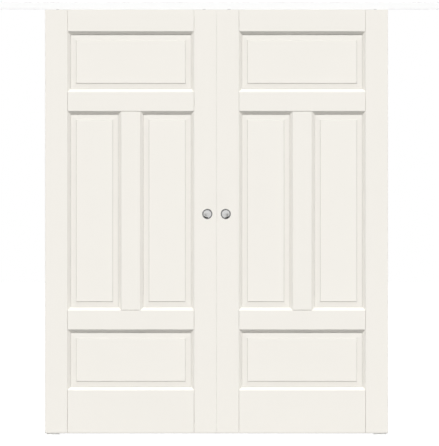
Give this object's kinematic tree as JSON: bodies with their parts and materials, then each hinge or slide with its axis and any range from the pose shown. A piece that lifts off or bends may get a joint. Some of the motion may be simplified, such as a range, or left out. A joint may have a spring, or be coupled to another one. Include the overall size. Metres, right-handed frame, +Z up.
{
  "type": "double sliding door",
  "caption": "Double sliding door: white panelled leaves with round flush pulls, hung from wheeled trolleys in a slim overhead track and kept in line by floor guides.",
  "frame": {"origin": "on the floor under the line where the closed leaves meet, at mid thickness", "axes": "+X along the track towards the right leaf, +Y through the thickness from the front to the back, +Z up"},
  "size_m": [3.1406, 0.0432, 2.082],
  "materials": {
    "white_paint": "satin white paint over solid wood",
    "chrome": "polished chrome plate",
    "track_coat": "white powder coat",
    "zinc_steel": "bright zinc plate",
    "trolley_alloy": "die cast, matt",
    "nylon": "moulded white nylon",
    "rubber": "matt black rubber",
    "beech": "turned beech"
  },
  "bodies": {
    "frame": {"track": "track_coat", "centre_stop": "trolley_alloy", "left_end_stop": "trolley_alloy", "right_end_stop": "trolley_alloy", "stop_buffers": "rubber", "stop_screws": "zinc_steel", "left_floor_guide": "nylon", "right_floor_guide": "nylon"},
    "left_leaf": {"left_outer_stile": "white_paint", "left_meeting_stile": "white_paint", "left_top_rail": "white_paint", "left_upper_cross_rail": "white_paint", "left_lower_cross_rail": "white_paint", "left_bottom_rail": "white_paint", "left_mullion": "white_paint", "left_top_panel": "white_paint", "left_outer_panel": "white_paint", "left_inner_panel": "white_paint", "left_bottom_panel": "white_paint", "left_front_pull": "chrome", "left_back_pull": "chrome", "left_outer_hanger_plate": "zinc_steel", "left_inner_hanger_plate": "zinc_steel", "left_plate_screws": "zinc_steel", "left_hanger_bolts": "zinc_steel", "left_lock_nuts": "zinc_steel", "left_outer_trolley": "trolley_alloy", "left_inner_trolley": "trolley_alloy", "left_axles": "zinc_steel", "left_dowels": "beech"},
    "left_wheel_pair_1": {"left_wheels_1": "nylon"},
    "left_wheel_pair_2": {"left_wheels_2": "nylon"},
    "left_wheel_pair_3": {"left_wheels_3": "nylon"},
    "left_wheel_pair_4": {"left_wheels_4": "nylon"},
    "right_leaf": {"right_outer_stile": "white_paint", "right_meeting_stile": "white_paint", "right_top_rail": "white_paint", "right_upper_cross_rail": "white_paint", "right_lower_cross_rail": "white_paint", "right_bottom_rail": "white_paint", "right_mullion": "white_paint", "right_top_panel": "white_paint", "right_outer_panel": "white_paint", "right_inner_panel": "white_paint", "right_bottom_panel": "white_paint", "right_front_pull": "chrome", "right_back_pull": "chrome", "right_outer_hanger_plate": "zinc_steel", "right_inner_hanger_plate": "zinc_steel", "right_plate_screws": "zinc_steel", "right_hanger_bolts": "zinc_steel", "right_lock_nuts": "zinc_steel", "right_outer_trolley": "trolley_alloy", "right_inner_trolley": "trolley_alloy", "right_axles": "zinc_steel", "right_dowels": "beech"},
    "right_wheel_pair_1": {"right_wheels_1": "nylon"},
    "right_wheel_pair_2": {"right_wheels_2": "nylon"},
    "right_wheel_pair_3": {"right_wheels_3": "nylon"},
    "right_wheel_pair_4": {"right_wheels_4": "nylon"}
  },
  "joints": [
    {"name": "left_leaf_slide", "type": "slide", "parent": "frame", "child": "left_leaf", "axis": [-1, 0, 0], "range_m": [0, 0.74]},
    {"name": "left_wheels_1_roll", "type": "hinge", "parent": "left_leaf", "child": "left_wheel_pair_1", "pos_m": [-0.0423, 0, 2.06775], "axis": [0, 1, 0], "continuous": true},
    {"name": "left_wheels_2_roll", "type": "hinge", "parent": "left_leaf", "child": "left_wheel_pair_2", "pos_m": [-0.0783, 0, 2.06775], "axis": [0, 1, 0], "continuous": true},
    {"name": "left_wheels_3_roll", "type": "hinge", "parent": "left_leaf", "child": "left_wheel_pair_3", "pos_m": [-0.7473, 0, 2.06775], "axis": [0, 1, 0], "continuous": true},
    {"name": "left_wheels_4_roll", "type": "hinge", "parent": "left_leaf", "child": "left_wheel_pair_4", "pos_m": [-0.7833, 0, 2.06775], "axis": [0, 1, 0], "continuous": true},
    {"name": "right_leaf_slide", "type": "slide", "parent": "frame", "child": "right_leaf", "axis": [1, 0, 0], "range_m": [0, 0.74]},
    {"name": "right_wheels_1_roll", "type": "hinge", "parent": "right_leaf", "child": "right_wheel_pair_1", "pos_m": [0.0423, 0, 2.06775], "axis": [0, 1, 0], "continuous": true},
    {"name": "right_wheels_2_roll", "type": "hinge", "parent": "right_leaf", "child": "right_wheel_pair_2", "pos_m": [0.0783, 0, 2.06775], "axis": [0, 1, 0], "continuous": true},
    {"name": "right_wheels_3_roll", "type": "hinge", "parent": "right_leaf", "child": "right_wheel_pair_3", "pos_m": [0.7473, 0, 2.06775], "axis": [0, 1, 0], "continuous": true},
    {"name": "right_wheels_4_roll", "type": "hinge", "parent": "right_leaf", "child": "right_wheel_pair_4", "pos_m": [0.7833, 0, 2.06775], "axis": [0, 1, 0], "continuous": true}
  ],
  "couplings": [
    {"joint": "left_wheels_1_roll", "follows": "left_leaf_slide", "rad_per_m": -100},
    {"joint": "left_wheels_2_roll", "follows": "left_leaf_slide", "rad_per_m": -100},
    {"joint": "left_wheels_3_roll", "follows": "left_leaf_slide", "rad_per_m": -100},
    {"joint": "left_wheels_4_roll", "follows": "left_leaf_slide", "rad_per_m": -100},
    {"joint": "right_wheels_1_roll", "follows": "right_leaf_slide", "rad_per_m": 100},
    {"joint": "right_wheels_2_roll", "follows": "right_leaf_slide", "rad_per_m": 100},
    {"joint": "right_wheels_3_roll", "follows": "right_leaf_slide", "rad_per_m": 100},
    {"joint": "right_wheels_4_roll", "follows": "right_leaf_slide", "rad_per_m": 100}
  ]
}
